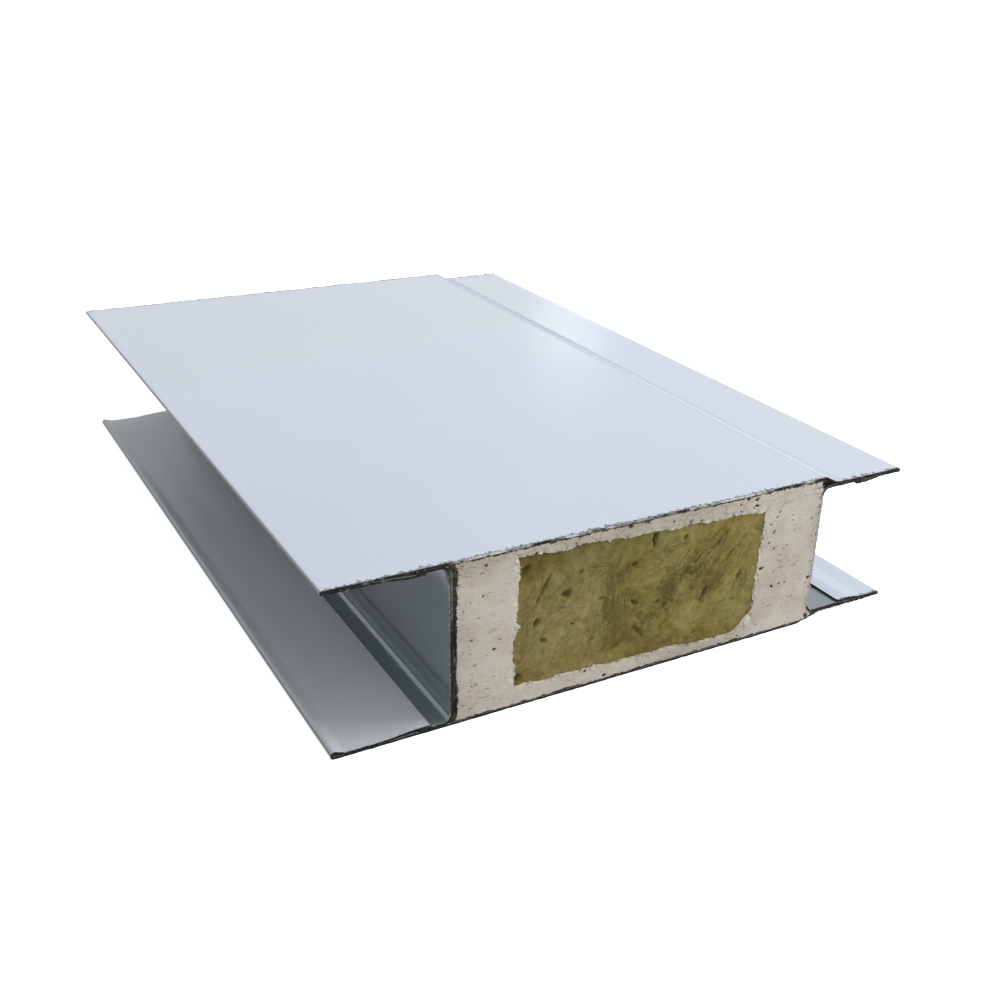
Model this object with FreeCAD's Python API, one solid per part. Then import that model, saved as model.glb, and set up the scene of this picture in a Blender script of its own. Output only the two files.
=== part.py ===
"""Insulated sandwich panel: a short sawn length, lying flat on its bottom facing.

Two painted steel facings hold a cast, foamed magnesium-cement surround with a rock wool batt in it.
A steel channel closes each long edge, and its lips turn outward under the facings, where the facings'
folded-back legs grip them.  The female edge is plain.  The male edge is joggled inward at both
facings, so that the next panel's female edge slides over it.

Millimetres.  The origin is the bottom centre of the panel: +X runs from the female edge to the male
edge, +Y runs along the panel and +Z is up.
"""

import FreeCAD
import Part

import math
import os

from FreeCAD import Vector

# Overall sizes
PANEL_LENGTH = 275.0
PANEL_THICKNESS = 50.0
CORE_WIDTH = 126.0  # between the outer faces of the two channel webs
FEMALE_REACH = 34.8  # facing beyond the female channel's web
MALE_REACH = 31.1  # facing beyond the male channel's web

# Facings
SHEET = 0.6
JOGGLE_BEND = 1.5  # inside radius
TOP_JOGGLE_RUN = 5.5
TOP_JOGGLE_SETBACK = 0.0  # from the male web's outer face, towards the core
BOTTOM_JOGGLE_RUN = 10.0
BOTTOM_JOGGLE_SETBACK = 4.3

# Folded-back edges of the facings
HEM_LOOP_BEND = 0.55  # inside radius of the open, teardrop-shaped fold
HEM_NECK_BEND = 3.0  # inside radius where the fold closes onto its leg
HEM_CLOSING_ANGLE = 20.0
HEM_GAP = 0.2  # between the leg and the facing that it is folded back on
FEMALE_LEG = 28.5  # from the facing's edge to the leg's cut edge
MALE_LEG = 18.0
CLIMB_RUN = 2.4  # length of the step by which a leg climbs over a channel lip
CLIMB_BEND = 0.8  # inside radius

# Edge channels
CHANNEL_SHEET = 0.8
CHANNEL_BEND = 2.5  # inside radius between web and lip
LIP_CATCH = 3.0  # lap of a facing's leg over a channel lip
LIP_CLEARANCE = 0.1  # between a lip and the leg over it
LIP_END_CLEARANCE = 0.3  # between a lip's edge and the step beside it

# Cast surround and rock wool batt
FACE_COVER = 4.4  # mean cover between the batt and each facing
FEMALE_COVER = 19.0  # between the batt and the female channel's web
MALE_COVER = 22.0
BATT_TILT = 1.9  # degrees: the batt lies slightly askew in the pour
FLARE_SHORTFALL = 1.1  # the pour stops this far short of where a joggle ends
FLARE_TIP = 0.25  # thickness at which the pour stops over the female channel's bends

# Joint with the next panel
JOINT_CLEARANCE = 0.1  # between the male edge and the female hems that it slides between

# Depth by which the male edge is joggled in, to pass the hems of the next panel's female edge
HEM_HEIGHT = 2 * (SHEET + HEM_LOOP_BEND)
JOGGLE_DEPTH = HEM_HEIGHT + JOINT_CLEARANCE

# Places that follow from the sizes, across the panel
PANEL_WIDTH = FEMALE_REACH + CORE_WIDTH + MALE_REACH
FEMALE_EDGE = -PANEL_WIDTH / 2
MALE_EDGE = PANEL_WIDTH / 2
FEMALE_WEB = FEMALE_EDGE + FEMALE_REACH
MALE_WEB = MALE_EDGE - MALE_REACH
FEMALE_LIP_END = FEMALE_EDGE + FEMALE_LEG - LIP_CATCH
MALE_LIP_END = MALE_EDGE - MALE_LEG + LIP_CATCH
FRONT_END = -PANEL_LENGTH / 2

# Heights of a leg's middle line over the middle line of its own facing
LEG_HEIGHT = SHEET + HEM_GAP
LEG_HEIGHT_OVER_LIP = SHEET + CHANNEL_SHEET + LIP_CLEARANCE


class BentStrip:
    """Section of a bent sheet-metal strip, traced along its middle line in the XZ plane.

    The heading is in degrees, 0 along +X and 90 along +Z.  A positive turn or step goes to the left
    of the heading, and bends are given by their inside radius, as on a press brake.
    """

    def __init__(self, x, z, heading, thickness):
        self.middle = Vector(x, 0, z)
        self.heading = heading
        self.thickness = thickness
        self.left_face = []
        self.right_face = []
        self.start = self._faces()

    def _normal(self):
        """Unit vector to the left of the heading."""
        angle = math.radians(self.heading)
        return Vector(-math.sin(angle), 0, math.cos(angle))

    def _faces(self):
        """Points on the strip's left and right faces at the present place."""
        offset = self._normal() * (self.thickness / 2)
        return self.middle + offset, self.middle - offset

    def run(self, length):
        """Go straight on."""
        left, right = self._faces()
        angle = math.radians(self.heading)
        self.middle = self.middle + Vector(math.cos(angle), 0, math.sin(angle)) * length
        new_left, new_right = self._faces()
        self.left_face.append(Part.makeLine(left, new_left))
        self.right_face.append(Part.makeLine(right, new_right))

    def run_to_x(self, x):
        """Go straight on, along X, to the given place."""
        self.run(abs(x - self.middle.x))

    def run_to_z(self, z):
        """Go straight on, along Z, to the given height."""
        self.run(abs(z - self.middle.z))

    def bend(self, turn, inside_radius):
        """Turn through an angle about an inside radius."""
        side = math.copysign(1, turn)
        centre = self.middle + self._normal() * (side * (inside_radius + self.thickness / 2))
        spoke = self.middle - centre
        points = [self._faces()]
        for _ in range(2):
            self.heading += turn / 2
            spoke = turned(spoke, turn / 2)
            self.middle = centre + spoke
            points.append(self._faces())
        (left, right), (left_mid, right_mid), (left_end, right_end) = points
        self.left_face.append(Part.Arc(left, left_mid, left_end).toShape())
        self.right_face.append(Part.Arc(right, right_mid, right_end).toShape())

    def step(self, rise, length, inside_radius):
        """Shift sideways by rise over a length: two equal bends with a slope between them."""
        side = math.copysign(1, rise)
        height = abs(rise)
        largest = (length ** 2 + height ** 2) / (4 * height)
        radius = min(inside_radius + self.thickness / 2, 0.98 * largest)
        span = math.hypot(length, 2 * radius - height)
        angle = math.asin(2 * radius / span) - math.atan2(2 * radius - height, length)
        turn = side * math.degrees(angle)
        self.bend(turn, radius - self.thickness / 2)
        self.run(math.sqrt(span ** 2 - 4 * radius ** 2))
        self.bend(-turn, radius - self.thickness / 2)

    def extruded(self):
        """The strip as a solid that runs the length of the panel."""
        caps = [
            Part.makeLine(*self.start),
            Part.makeLine(*self._faces()),
        ]
        edges = Part.__sortEdges__(self.left_face + self.right_face + caps)
        section = Part.Face(Part.Wire(edges))
        section.translate(Vector(0, FRONT_END, 0))
        return section.extrude(Vector(0, PANEL_LENGTH, 0))


def turned(spoke, angle):
    """A vector in the XZ plane turned by an angle in degrees, from +X towards +Z."""
    cosine = math.cos(math.radians(angle))
    sine = math.sin(math.radians(angle))
    return Vector(spoke.x * cosine - spoke.z * sine, 0, spoke.x * sine + spoke.z * cosine)


def neck_length():
    """Straight slope of a hem, between the loop at its edge and the leg."""
    closing = math.radians(HEM_CLOSING_ANGLE)
    loop = HEM_LOOP_BEND + SHEET / 2
    neck = HEM_NECK_BEND + SHEET / 2
    drop = loop * (1 + math.cos(closing)) - neck * (1 - math.cos(closing)) - LEG_HEIGHT
    return drop / math.sin(closing)


def hem_length():
    """Length of a hem along X, from the facing's edge to where its leg lies flat."""
    closing = math.radians(HEM_CLOSING_ANGLE)
    loop = HEM_LOOP_BEND + SHEET / 2
    neck = HEM_NECK_BEND + SHEET / 2
    turns = loop + (loop + neck) * math.sin(closing)
    return SHEET / 2 + turns + neck_length() * math.cos(closing)


def facing(joggle_setback, joggle_run):
    """A facing as it lies at the bottom, traced from the female leg round to the male leg."""
    strip = BentStrip(FEMALE_EDGE + FEMALE_LEG, SHEET / 2 + LEG_HEIGHT_OVER_LIP, 180, SHEET)

    # The female leg leaves the channel lip, steps down and opens into the hem
    strip.run_to_x(FEMALE_LIP_END - LIP_END_CLEARANCE)
    strip.step(LEG_HEIGHT_OVER_LIP - LEG_HEIGHT, CLIMB_RUN, CLIMB_BEND)
    strip.run_to_x(FEMALE_EDGE + hem_length())
    strip.bend(-HEM_CLOSING_ANGLE, HEM_NECK_BEND)
    strip.run(neck_length())
    strip.bend(180 + HEM_CLOSING_ANGLE, HEM_LOOP_BEND)

    # The flat of the facing, then the joggle of the male edge
    strip.run_to_x(MALE_WEB - joggle_setback)
    strip.step(JOGGLE_DEPTH, joggle_run, JOGGLE_BEND)
    strip.run_to_x(MALE_EDGE - SHEET - HEM_LOOP_BEND)

    # The male hem, and its leg up over the other channel's lip
    strip.bend(180 + HEM_CLOSING_ANGLE, HEM_LOOP_BEND)
    strip.run(neck_length())
    strip.bend(-HEM_CLOSING_ANGLE, HEM_NECK_BEND)
    strip.run_to_x(MALE_LIP_END + LIP_END_CLEARANCE + CLIMB_RUN)
    strip.step(LEG_HEIGHT - LEG_HEIGHT_OVER_LIP, CLIMB_RUN, CLIMB_BEND)
    strip.run_to_x(MALE_EDGE - MALE_LEG)
    return strip.extruded()


def edge_channel(web, lip_end, facing_depth):
    """A channel with lips turned away from the core, seated between the two facings.

    web is the outer face of its web, lip_end the edge of its lips, and facing_depth the depth of the
    facings' inner faces under the panel's outer faces, which its lips lie on.
    """
    outward = math.copysign(1, lip_end - web)
    low = facing_depth + CHANNEL_SHEET / 2
    high = PANEL_THICKNESS - low
    bend_reach = CHANNEL_BEND + CHANNEL_SHEET / 2
    web_middle = web - outward * CHANNEL_SHEET / 2
    strip = BentStrip(lip_end, low, 90 + 90 * outward, CHANNEL_SHEET)
    strip.run_to_x(web_middle + outward * bend_reach)
    strip.bend(-90 * outward, CHANNEL_BEND)
    strip.run_to_z(high - bend_reach)
    strip.bend(-90 * outward, CHANNEL_BEND)
    strip.run_to_x(lip_end)
    return strip.extruded()


def rock_wool_batt():
    """The batt, with its mean cover to each side of it, turned slightly askew."""
    left = FEMALE_WEB + CHANNEL_SHEET + FEMALE_COVER
    right = MALE_WEB - CHANNEL_SHEET - MALE_COVER
    low = SHEET + FACE_COVER
    high = PANEL_THICKNESS - low
    batt = Part.makeBox(right - left, PANEL_LENGTH, high - low, Vector(left, FRONT_END, low))
    centre = Vector((left + right) / 2, 0, (low + high) / 2)
    batt.rotate(centre, Vector(0, 1, 0), BATT_TILT)
    return batt


def cast_surround(metal, batt):
    """The pour: all that the metal closes in between the facings and the webs, less the batt.

    It runs out over the channels' bends in thin flares, as the wet mix does.
    """
    outer_bend = CHANNEL_BEND + CHANNEL_SHEET
    taper = math.sqrt(outer_bend ** 2 - (outer_bend - FLARE_TIP) ** 2)
    left = FEMALE_WEB + CHANNEL_SHEET - outer_bend + taper
    joggle_ends = (
        MALE_WEB - TOP_JOGGLE_SETBACK + TOP_JOGGLE_RUN,
        MALE_WEB - BOTTOM_JOGGLE_SETBACK + BOTTOM_JOGGLE_RUN,
    )
    right = min(joggle_ends) - FLARE_SHORTFALL
    height = PANEL_THICKNESS - 2 * SHEET
    space = Part.makeBox(right - left, PANEL_LENGTH, height, Vector(left, FRONT_END, SHEET))
    pour = max(space.cut(metal).Solids, key=lambda solid: solid.Volume)
    return pour.cut(batt)


def build():
    """All pieces of the panel, by node name."""
    bottom_facing = facing(BOTTOM_JOGGLE_SETBACK, BOTTOM_JOGGLE_RUN)
    top_facing = facing(TOP_JOGGLE_SETBACK, TOP_JOGGLE_RUN).mirror(
        Vector(0, 0, PANEL_THICKNESS / 2), Vector(0, 0, 1)
    )
    female_channel = edge_channel(FEMALE_WEB, FEMALE_LIP_END, SHEET)
    male_channel = edge_channel(MALE_WEB, MALE_LIP_END, SHEET + JOGGLE_DEPTH)
    batt = rock_wool_batt()
    metal = [bottom_facing, top_facing, female_channel, male_channel]
    return {
        "bottom_facing": bottom_facing,
        "top_facing": top_facing,
        "female_edge_channel": female_channel,
        "male_edge_channel": male_channel,
        "cast_surround": cast_surround(metal, batt),
        "rock_wool_batt": batt,
    }


def main():
    os.makedirs("parts", exist_ok=True)
    for name, shape in build().items():
        solid = shape.Solids[0]
        solid.exportStep(f"parts/{name}.step")
        box = solid.BoundBox
        print(
            f"{name}: {len(shape.Solids)} solid, valid {solid.isValid()}, {solid.Volume:.0f} mm3, "
            f"x {box.XMin:.2f}..{box.XMax:.2f}, z {box.ZMin:.2f}..{box.ZMax:.2f}"
        )


if __name__ == "__main__":
    main()
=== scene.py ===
"""Dresses the insulated sandwich panel: painted facings, edge channels, cast surround and rock wool.

Lengths are in metres.  X runs across the panel from its female to its male edge, Y along it and Z up.
"""

import logging
import math
import random
from collections.abc import Callable, Iterator
from contextlib import contextmanager
from dataclasses import dataclass, field
from enum import Enum
from functools import cache, cached_property

import bmesh
import bpy
import numpy as np
from mathutils import Matrix, Vector, noise


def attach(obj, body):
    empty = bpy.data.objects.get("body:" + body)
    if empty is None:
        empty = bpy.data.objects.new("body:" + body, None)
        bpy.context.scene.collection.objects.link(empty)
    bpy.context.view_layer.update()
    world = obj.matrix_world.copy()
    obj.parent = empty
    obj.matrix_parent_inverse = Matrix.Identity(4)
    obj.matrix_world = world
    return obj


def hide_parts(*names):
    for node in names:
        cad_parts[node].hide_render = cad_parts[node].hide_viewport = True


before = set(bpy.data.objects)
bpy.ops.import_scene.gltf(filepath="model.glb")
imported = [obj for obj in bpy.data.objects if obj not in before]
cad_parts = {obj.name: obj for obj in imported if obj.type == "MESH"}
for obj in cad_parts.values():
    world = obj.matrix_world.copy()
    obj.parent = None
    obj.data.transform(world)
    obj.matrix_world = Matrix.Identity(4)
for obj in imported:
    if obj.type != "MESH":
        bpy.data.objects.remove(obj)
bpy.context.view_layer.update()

LOG = logging.getLogger("panel")
MM = 0.001
BODY = "root"
Colour = tuple[float, float, float]
Piece = bpy.types.Object
Material = bpy.types.Material
Tree = bpy.types.NodeTree
Rows = np.ndarray


class End(Enum):
    """The two sawn ends of the panel, by the way that they face along Y."""

    FRONT = -1
    BACK = 1


@dataclass(frozen=True)
class PanelSizes:
    """Sizes that the pieces share, as in the panel's construction."""

    length: float = 275.0 * MM
    thickness: float = 50.0 * MM
    core_width: float = 126.0 * MM
    female_reach: float = 34.8 * MM
    male_reach: float = 31.1 * MM
    sheet: float = 0.6 * MM
    channel_sheet: float = 0.8 * MM
    channel_bend: float = 2.5 * MM
    hem_bend: float = 0.55 * MM
    joint_clearance: float = 0.1 * MM
    female_leg: float = 28.5 * MM
    male_leg: float = 18.0 * MM
    lip_catch: float = 3.0 * MM

    @property
    def female_edge(self) -> float:
        """Place of the female edge across the panel."""
        return -(self.female_reach + self.core_width + self.male_reach) / 2

    @property
    def male_edge(self) -> float:
        """Place of the male edge across the panel."""
        return -self.female_edge

    @property
    def female_web(self) -> float:
        """Outer face of the female channel's web."""
        return self.female_edge + self.female_reach

    @property
    def male_web(self) -> float:
        """Outer face of the male channel's web."""
        return self.male_edge - self.male_reach

    @property
    def female_lip(self) -> float:
        """Where the female channel's lips end."""
        return self.female_edge + self.female_leg - self.lip_catch

    @property
    def male_lip(self) -> float:
        """Where the male channel's lips end."""
        return self.male_edge - self.male_leg + self.lip_catch

    @property
    def joggle(self) -> float:
        """Depth by which the male edge is set in, so that it passes the female hems."""
        return 2 * (self.sheet + self.hem_bend) + self.joint_clearance


SIZES = PanelSizes()
HALF_LENGTH = SIZES.length / 2
HALF_THICKNESS = SIZES.thickness / 2


# ---------------------------------------------------------------------------------------------------
# Working on meshes


def select_only(piece: Piece) -> None:
    """Selects one piece, makes it active and deselects all else.

    Args:
        piece: The piece to work on.
    """
    bpy.ops.object.select_all(action="DESELECT")
    piece.select_set(True)
    bpy.context.view_layer.objects.active = piece


@contextmanager
def edit_mode(piece: Piece) -> Iterator[None]:
    """Holds a piece in edit mode for a while.

    Args:
        piece: The piece to edit.
    """
    select_only(piece)
    bpy.ops.object.mode_set(mode="EDIT")
    yield
    bpy.ops.object.mode_set(mode="OBJECT")


def pick(piece: Piece, kind: str, test: Callable[..., bool]) -> None:
    """Selects the vertices, edges or faces that pass a test, in edit mode.

    Args:
        piece: The piece that is in edit mode.
        kind: "verts", "edges" or "faces".
        test: Says whether one of them is wanted.
    """
    bpy.ops.mesh.select_mode(type={"verts": "VERT", "edges": "EDGE", "faces": "FACE"}[kind])
    bpy.ops.mesh.select_all(action="DESELECT")
    mesh = bmesh.from_edit_mesh(piece.data)
    for item in [item for item in getattr(mesh, kind) if test(item)]:
        item.select_set(True)
    bmesh.update_edit_mesh(piece.data)


def select_whole() -> None:
    """Selects the whole mesh that is in edit mode."""
    bpy.ops.mesh.select_all(action="SELECT")


def primitive(name: str, add: Callable[..., object], **settings: object) -> Piece:
    """Adds a primitive at the origin, with nothing else selected.

    Args:
        name: Its name.
        add: The operator that adds it.
        settings: The operator's values.

    Returns:
        The new piece.
    """
    bpy.ops.object.select_all(action="DESELECT")
    add(**settings)
    piece = bpy.context.object
    piece.name = piece.data.name = name
    return piece


def dress(piece: Piece, *materials: Material) -> None:
    """Gives a piece its materials, in the order of its slots."""
    for material in materials:
        piece.data.materials.append(material)


def coordinates(piece: Piece) -> Rows:
    """Reads where the vertices of a piece are.

    Args:
        piece: The piece.

    Returns:
        Their places, one row each.
    """
    found = np.empty(len(piece.data.vertices) * 3)
    piece.data.vertices.foreach_get("co", found)
    return found.reshape(-1, 3)


def move_vertices(piece: Piece, places: Rows) -> None:
    """Puts all vertices of a piece at new places, one row each."""
    piece.data.vertices.foreach_set("co", np.ascontiguousarray(places).ravel())
    piece.data.update()


def store_mask(piece: Piece, name: str, values: Rows) -> None:
    """Stores a number for each vertex, as an attribute for a material to read."""
    mask = piece.data.attributes.new(name, "FLOAT", "POINT")
    mask.data.foreach_set("value", values.astype(np.float32))


def seat(piece: Piece, node: str, angle: float) -> None:
    """Smooths a finished piece and sets it in the frame in its node's place.

    Args:
        piece: The finished piece.
        node: The node that it stands for.
        angle: Edges that turn by less than this are smoothed, in degrees.
    """
    select_only(piece)
    bpy.ops.object.shade_smooth_by_angle(angle=math.radians(angle))
    bpy.ops.object.select_all(action="DESELECT")
    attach(piece, BODY)
    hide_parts(node)
    LOG.info("%s: %d faces", piece.name, len(piece.data.polygons))


def ripple(x: float, y: float, z: float, scale: float, octaves: int) -> float:
    """Smooth noise from about -1 to 1 at a place.

    Args:
        x, y, z: The place.
        scale: Width of its largest waves.
        octaves: How many times finer waves are added.

    Returns:
        The value there.
    """
    place = Vector((x / scale, y / scale, z / scale))
    return noise.fractal(place, 1.0, 2.0, octaves, noise_basis="PERLIN_ORIGINAL")


def ripples(flat: Rows, seed: float, scale: float, octaves: int) -> Rows:
    """Smooth noise at rows of (x, z), where a seed picks the pattern."""
    return np.array([ripple(x, seed, z, scale, octaves) for x, z in flat])


def oval(offset: Rows, lean: float, length: float, width: float) -> Rows:
    """How far places are from the middle of a leaning oval.

    Args:
        offset: Rows of (x, z), from its middle.
        lean: Its lean, in radians.
        length: Its half length.
        width: Its half width.

    Returns:
        The distances, which are 1 on the oval.
    """
    along = (offset[:, 0] * math.cos(lean) + offset[:, 1] * math.sin(lean)) / length
    across = (offset[:, 1] * math.cos(lean) - offset[:, 0] * math.sin(lean)) / width
    return np.sqrt(along**2 + across**2)


# ---------------------------------------------------------------------------------------------------
# Materials


def sum_node(kind: str, swapped: bool = False) -> Callable[["Value", object], "Value"]:
    """Makes an operator of Value.

    Args:
        kind: The operation of its Math node.
        swapped: Whether the value comes second.

    Returns:
        The operator.
    """

    def operator(value: "Value", other: object) -> "Value":
        """Adds the node."""
        return value.wiring.math(kind, *((other, value) if swapped else (value, other)))

    return operator


@dataclass(frozen=True)
class Value:
    """What a node puts out, with sums on it.  Two masks joined by | cover what either covers."""

    wiring: "Wiring"
    socket: bpy.types.NodeSocket

    __add__ = sum_node("ADD")
    __sub__ = sum_node("SUBTRACT")
    __rsub__ = sum_node("SUBTRACT", swapped=True)
    __mul__ = sum_node("MULTIPLY")
    __truediv__ = sum_node("DIVIDE")
    __or__ = sum_node("MAXIMUM")

    def __abs__(self) -> "Value":
        """Its size without its sign."""
        return self.wiring.math("ABSOLUTE", self)

    def ramp(self, low: float, high: float, start: float = 0.0, end: float = 1.0) -> "Value":
        """Eases the value from one range to another.

        Args:
            low: Where it starts.
            high: Where it ends.
            start: What low becomes.
            end: What high becomes.

        Returns:
            The eased value.
        """
        inputs = {"Value": self, "From Min": low, "From Max": high, "To Min": start, "To Max": end}
        return self.wiring.add("MapRange", inputs, interpolation_type="SMOOTHSTEP")["Result"]


@dataclass
class Wiring:
    """Short ways to add nodes to a tree."""

    tree: Tree

    def outputs(self, node: bpy.types.Node) -> dict[str | int, Value]:
        """What a node puts out, by name and by number."""
        values = [Value(self, socket) for socket in node.outputs]
        return {**{value.socket.name: value for value in values}, **dict(enumerate(values))}

    def put(self, node: bpy.types.Node, name: str | int, value: object) -> None:
        """Links a value to a node's input, or sets a plain number, vector or colour on it.

        Args:
            node: The node.
            name: The input's name or number.
            value: What it gets.
        """
        socket = node.inputs[name]
        if isinstance(value, Value):
            self.tree.links.new(value.socket, socket)
        elif socket.type == "RGBA":
            socket.default_value = (*value, 1.0)
        else:
            socket.default_value = value

    def add(self, kind: str, inputs: dict | None = None, **settings: object) -> dict[str | int, Value]:
        """Adds a node.

        Args:
            kind: Its type, without the ShaderNode in front.
            inputs: Plain or linked values for its inputs, by name or number.
            settings: The node's own settings.

        Returns:
            Its outputs, by name and by number.
        """
        node = self.tree.nodes.new("ShaderNode" + kind)
        for name, value in settings.items():
            setattr(node, name, value)
        for name, value in (inputs or {}).items():
            self.put(node, name, value)
        return self.outputs(node)

    @cached_property
    def place(self) -> Value:
        """Object coordinates."""
        return self.add("TexCoord")["Object"]

    def axis(self, name: str, at: Value | None = None) -> Value:
        """One of the coordinates, "X", "Y" or "Z"."""
        return self.add("SeparateXYZ", {0: at or self.place})[name]

    def end_inset(self) -> Value:
        """Distance from the nearer sawn end."""
        return HALF_LENGTH - abs(self.axis("Y"))

    def mask(self, name: str) -> Value:
        """A mask that a piece stores for its vertices."""
        return self.add("Attribute", attribute_name=name)["Fac"]

    def math(self, kind: str, one: object, two: object = 0.0) -> Value:
        """One sum on one or two values."""
        return self.add("Math", {0: one, 1: two}, operation=kind)[0]

    def vector(self, kind: str, one: Value, two: object) -> Value:
        """One sum on two vectors, or on a vector and the number that scales it."""
        second = "Scale" if kind == "SCALE" else 1
        return self.add("VectorMath", {0: one, second: two}, operation=kind)[0]

    def pushed(self, source: Value, scale: object, detail: float, amount: object) -> Value:
        """Coordinates pushed about a little, for lines that wander.

        Args:
            source: The coordinates.
            scale: Waves of the push in a metre of them.
            detail: Octaves of it.
            amount: How far it pushes.

        Returns:
            The pushed coordinates.
        """
        push = self.add("TexNoise", {"Vector": source, "Scale": scale, "Detail": detail})["Color"]
        push = self.vector("SCALE", self.vector("SUBTRACT", push, (0.5, 0.5, 0.5)), amount)
        return self.vector("ADD", source, push)

    def noise(self, scale: object, detail: float = 3.0, rough: float = 0.55, warp: float = 0.0,
              stretch: Colour | None = None, at: Value | None = None) -> Value:
        """A noise texture's value, from about 0.25 to 0.75.

        Args:
            scale: Waves in a metre.
            detail: Octaves.
            rough: Weight of the finer octaves.
            warp: Distortion.
            stretch: Scale of the coordinates along each axis.
            at: Coordinates, if not the piece's own.

        Returns:
            The value.
        """
        place = at or self.place
        if stretch:
            place = self.vector("MULTIPLY", place, stretch)
        inputs = {"Vector": place, "Scale": scale, "Detail": detail, "Roughness": rough,
                  "Distortion": warp}
        return self.add("TexNoise", inputs)["Fac"]

    def mix(self, cover: object, under: object, over: object, blend: str = "MIX") -> Value:
        """Mixes two colours.

        Args:
            cover: Share of the second.
            under: The first colour.
            over: The second colour.
            blend: How they are put together.

        Returns:
            The mixed colour.
        """
        return self.add("Mix", {0: cover, 6: under, 7: over}, data_type="RGBA", blend_type=blend)[2]

    def bump(self, height: Value, distance: float, strength: float,
             under: Value | None = None) -> Value:
        """A bumped normal.

        Args:
            height: Height from 0 to 1.
            distance: What a height of 1 is.
            strength: Share of the bump.
            under: A normal to bump further.

        Returns:
            The normal.
        """
        inputs = {"Height": height, "Distance": distance, "Strength": strength}
        return self.add("Bump", inputs | ({"Normal": under} if under else {}))["Normal"]

    def seen(self) -> Value:
        """1 for rays from the camera, from a mirror or through glass, and 0 for others."""
        path = self.add("LightPath")
        return path["Is Camera Ray"] | path["Is Glossy Ray"] | path["Is Transmission Ray"]


class Group(Wiring):
    """A shader node group under construction."""

    def __init__(self, name: str, **inputs: float) -> None:
        """Starts the group.

        Args:
            name: Its name.
            inputs: Its number inputs and their usual values.
        """
        super().__init__(bpy.data.node_groups.new(name, "ShaderNodeTree"))
        new_socket = self.tree.interface.new_socket
        for label, value in inputs.items():
            socket = new_socket(label, in_out="INPUT", socket_type="NodeSocketFloat")
            socket.default_value = value
        self.given = self.outputs(self.tree.nodes.new("NodeGroupInput"))

    def give(self, **results: Value) -> Tree:
        """Ends the group.

        Args:
            results: Its outputs, by name.

        Returns:
            Its tree.
        """
        for label, value in results.items():
            kind = "NodeSocketVector" if value.socket.type == "VECTOR" else "NodeSocketFloat"
            self.tree.interface.new_socket(label, in_out="OUTPUT", socket_type=kind)
        end = self.tree.nodes.new("NodeGroupOutput")
        for label, value in results.items():
            self.put(end, label, value)
        return self.tree


class Shading(Wiring):
    """A material under construction: the nodes of its Principled BSDF, and its colour so far."""

    def __init__(self, name: str, tone: Colour) -> None:
        """Makes the material.

        Args:
            name: Its name.
            tone: Its first colour.
        """
        self.material = bpy.data.materials.new(name)
        self.material.use_nodes = True
        super().__init__(self.material.node_tree)
        self.tone = tone

    def group(self, tree: Tree, **values: float) -> dict[str | int, Value]:
        """Places a shader node group.

        Args:
            tree: The group's tree.
            values: Its inputs, by name.

        Returns:
            Its outputs, by name and by number.
        """
        node = self.tree.nodes.new("ShaderNodeGroup")
        node.node_tree = tree
        for name, value in values.items():
            self.put(node, name, value)
        return self.outputs(node)

    def specks(self, scale: float, share: float, warp: float) -> Value:
        """A mask of small specks: how many there could be in a metre, how many are, how ragged."""
        return self.group(speckle_group(), Scale=scale, Share=share, Warp=warp)["Mask"]

    def coat(self, cover: object, colour: object, blend: str = "MIX") -> None:
        """Lays a colour over the colour so far, as far as a mask covers it."""
        self.tone = self.mix(cover, self.tone, colour, blend)

    def finish(self, **values: object) -> Material:
        """Feeds the shader with the colour and with other values.

        Args:
            values: The shader's inputs, with _ for each space in their names.

        Returns:
            The material.
        """
        for name, value in {"Base_Color": self.tone, **values}.items():
            self.put(self.tree.nodes["Principled BSDF"], name.replace("_", " "), value)
        return self.material


def shade(colour: Colour, share: float) -> Colour:
    """A colour darkened to a share of its light."""
    return tuple(channel * share for channel in colour)


@cache
def speckle_group() -> Tree:
    """A mask of small ragged specks, as grit, pinholes and dust make.

    Returns:
        The group.
    """
    group = Group("specks", Scale=900.0, Share=0.2, Warp=0.4)
    scale = group.given["Scale"]
    place = group.pushed(group.place, scale, 2.0, group.given["Warp"] / scale)
    place = group.vector("MULTIPLY", place, (0.6, 1.0, 1.15))
    cells = group.add("TexVoronoi", {"Vector": place, "Scale": scale})
    number = group.add("SeparateColor", {0: cells["Color"]})[0]
    chosen = group.math("LESS_THAN", number, group.given["Share"])
    return group.give(Mask=chosen * cells["Distance"].ramp(0.45, 0.15))


@cache
def coil_coat_group() -> Tree:
    """The faint waves of a coil-coated sheet, and the fine orange peel of its paint.

    Returns:
        The group, which puts out a normal and a roughness.
    """
    group = Group("coil_coat", Peel=1.0, Roughness=0.3)
    waves = group.bump(group.noise(28.0, 1.0, stretch=(1.0, 0.35, 1.0)), 0.25 * MM, 0.4)
    normal = group.bump(group.noise(1900.0, 2.0) * group.given["Peel"], 0.008 * MM, 0.5, waves)
    spread = (group.noise(60.0) - 0.5) * 0.08
    return group.give(Normal=normal, Roughness=group.given["Roughness"] + spread)


@cache
def chipped_end_group() -> Tree:
    """A mask of the ragged teeth that a saw leaves in a coating beside a sawn end.

    Returns:
        The group.
    """
    group = Group("chipped_end", Reach=0.8 * MM, Teeth=520.0)
    line = group.add("CombineXYZ", {0: group.axis("X") + group.axis("Z") * 0.7})[0]
    teeth = group.noise(group.given["Teeth"], 1.5, 0.5, at=line).ramp(0.36, 0.64)
    stretches = group.noise(75.0, 2.0, at=line).ramp(0.42, 0.6, 0.45, 1.0)
    crumbs = group.noise(2400.0, 2.0) * 0.22
    bare = (teeth * stretches + crumbs) * group.given["Reach"] - group.end_inset()
    return group.give(Mask=bare.ramp(-0.05 * MM, 0.05 * MM))


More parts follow.
